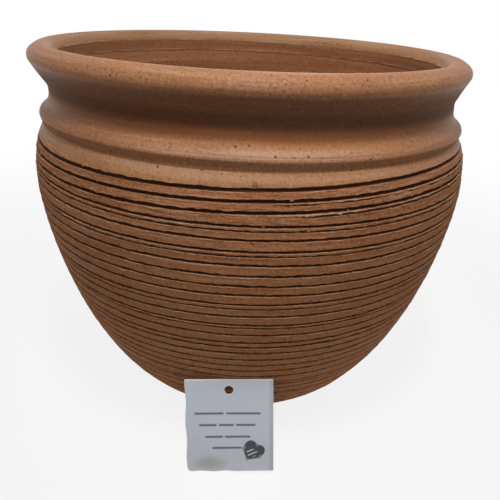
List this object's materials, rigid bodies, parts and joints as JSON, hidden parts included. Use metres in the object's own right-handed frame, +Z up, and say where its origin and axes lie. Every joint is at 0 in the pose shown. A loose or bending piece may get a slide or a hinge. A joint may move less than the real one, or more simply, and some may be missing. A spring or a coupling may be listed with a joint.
{
  "type": "flower pot",
  "caption": "Round wheel-thrown clay flower pot with a rolled rim, drawn-in neck, bead and ring-grooved belly above a small drained foot; a loose punched card tag leans on it.",
  "frame": {"origin": "middle of the foot, on the floor that the pot and the tag stand on", "axes": "+Z up along the pot's axis, -Y towards the tag and the viewer, +X to the viewer's right"},
  "size_m": [0.2632, 0.2632, 0.226],
  "materials": {
    "clay": "matte unglazed fired clay",
    "card": "matte coated card"
  },
  "bodies": {
    "pot": {"pot_body": "clay"},
    "tag": {"hang_tag": "card"}
  },
  "joints": [
    {"name": "tag_draw", "type": "slide", "parent": "pot", "child": "tag", "axis": [0, -1, 0], "range_m": [0, 0.1]}
  ]
}
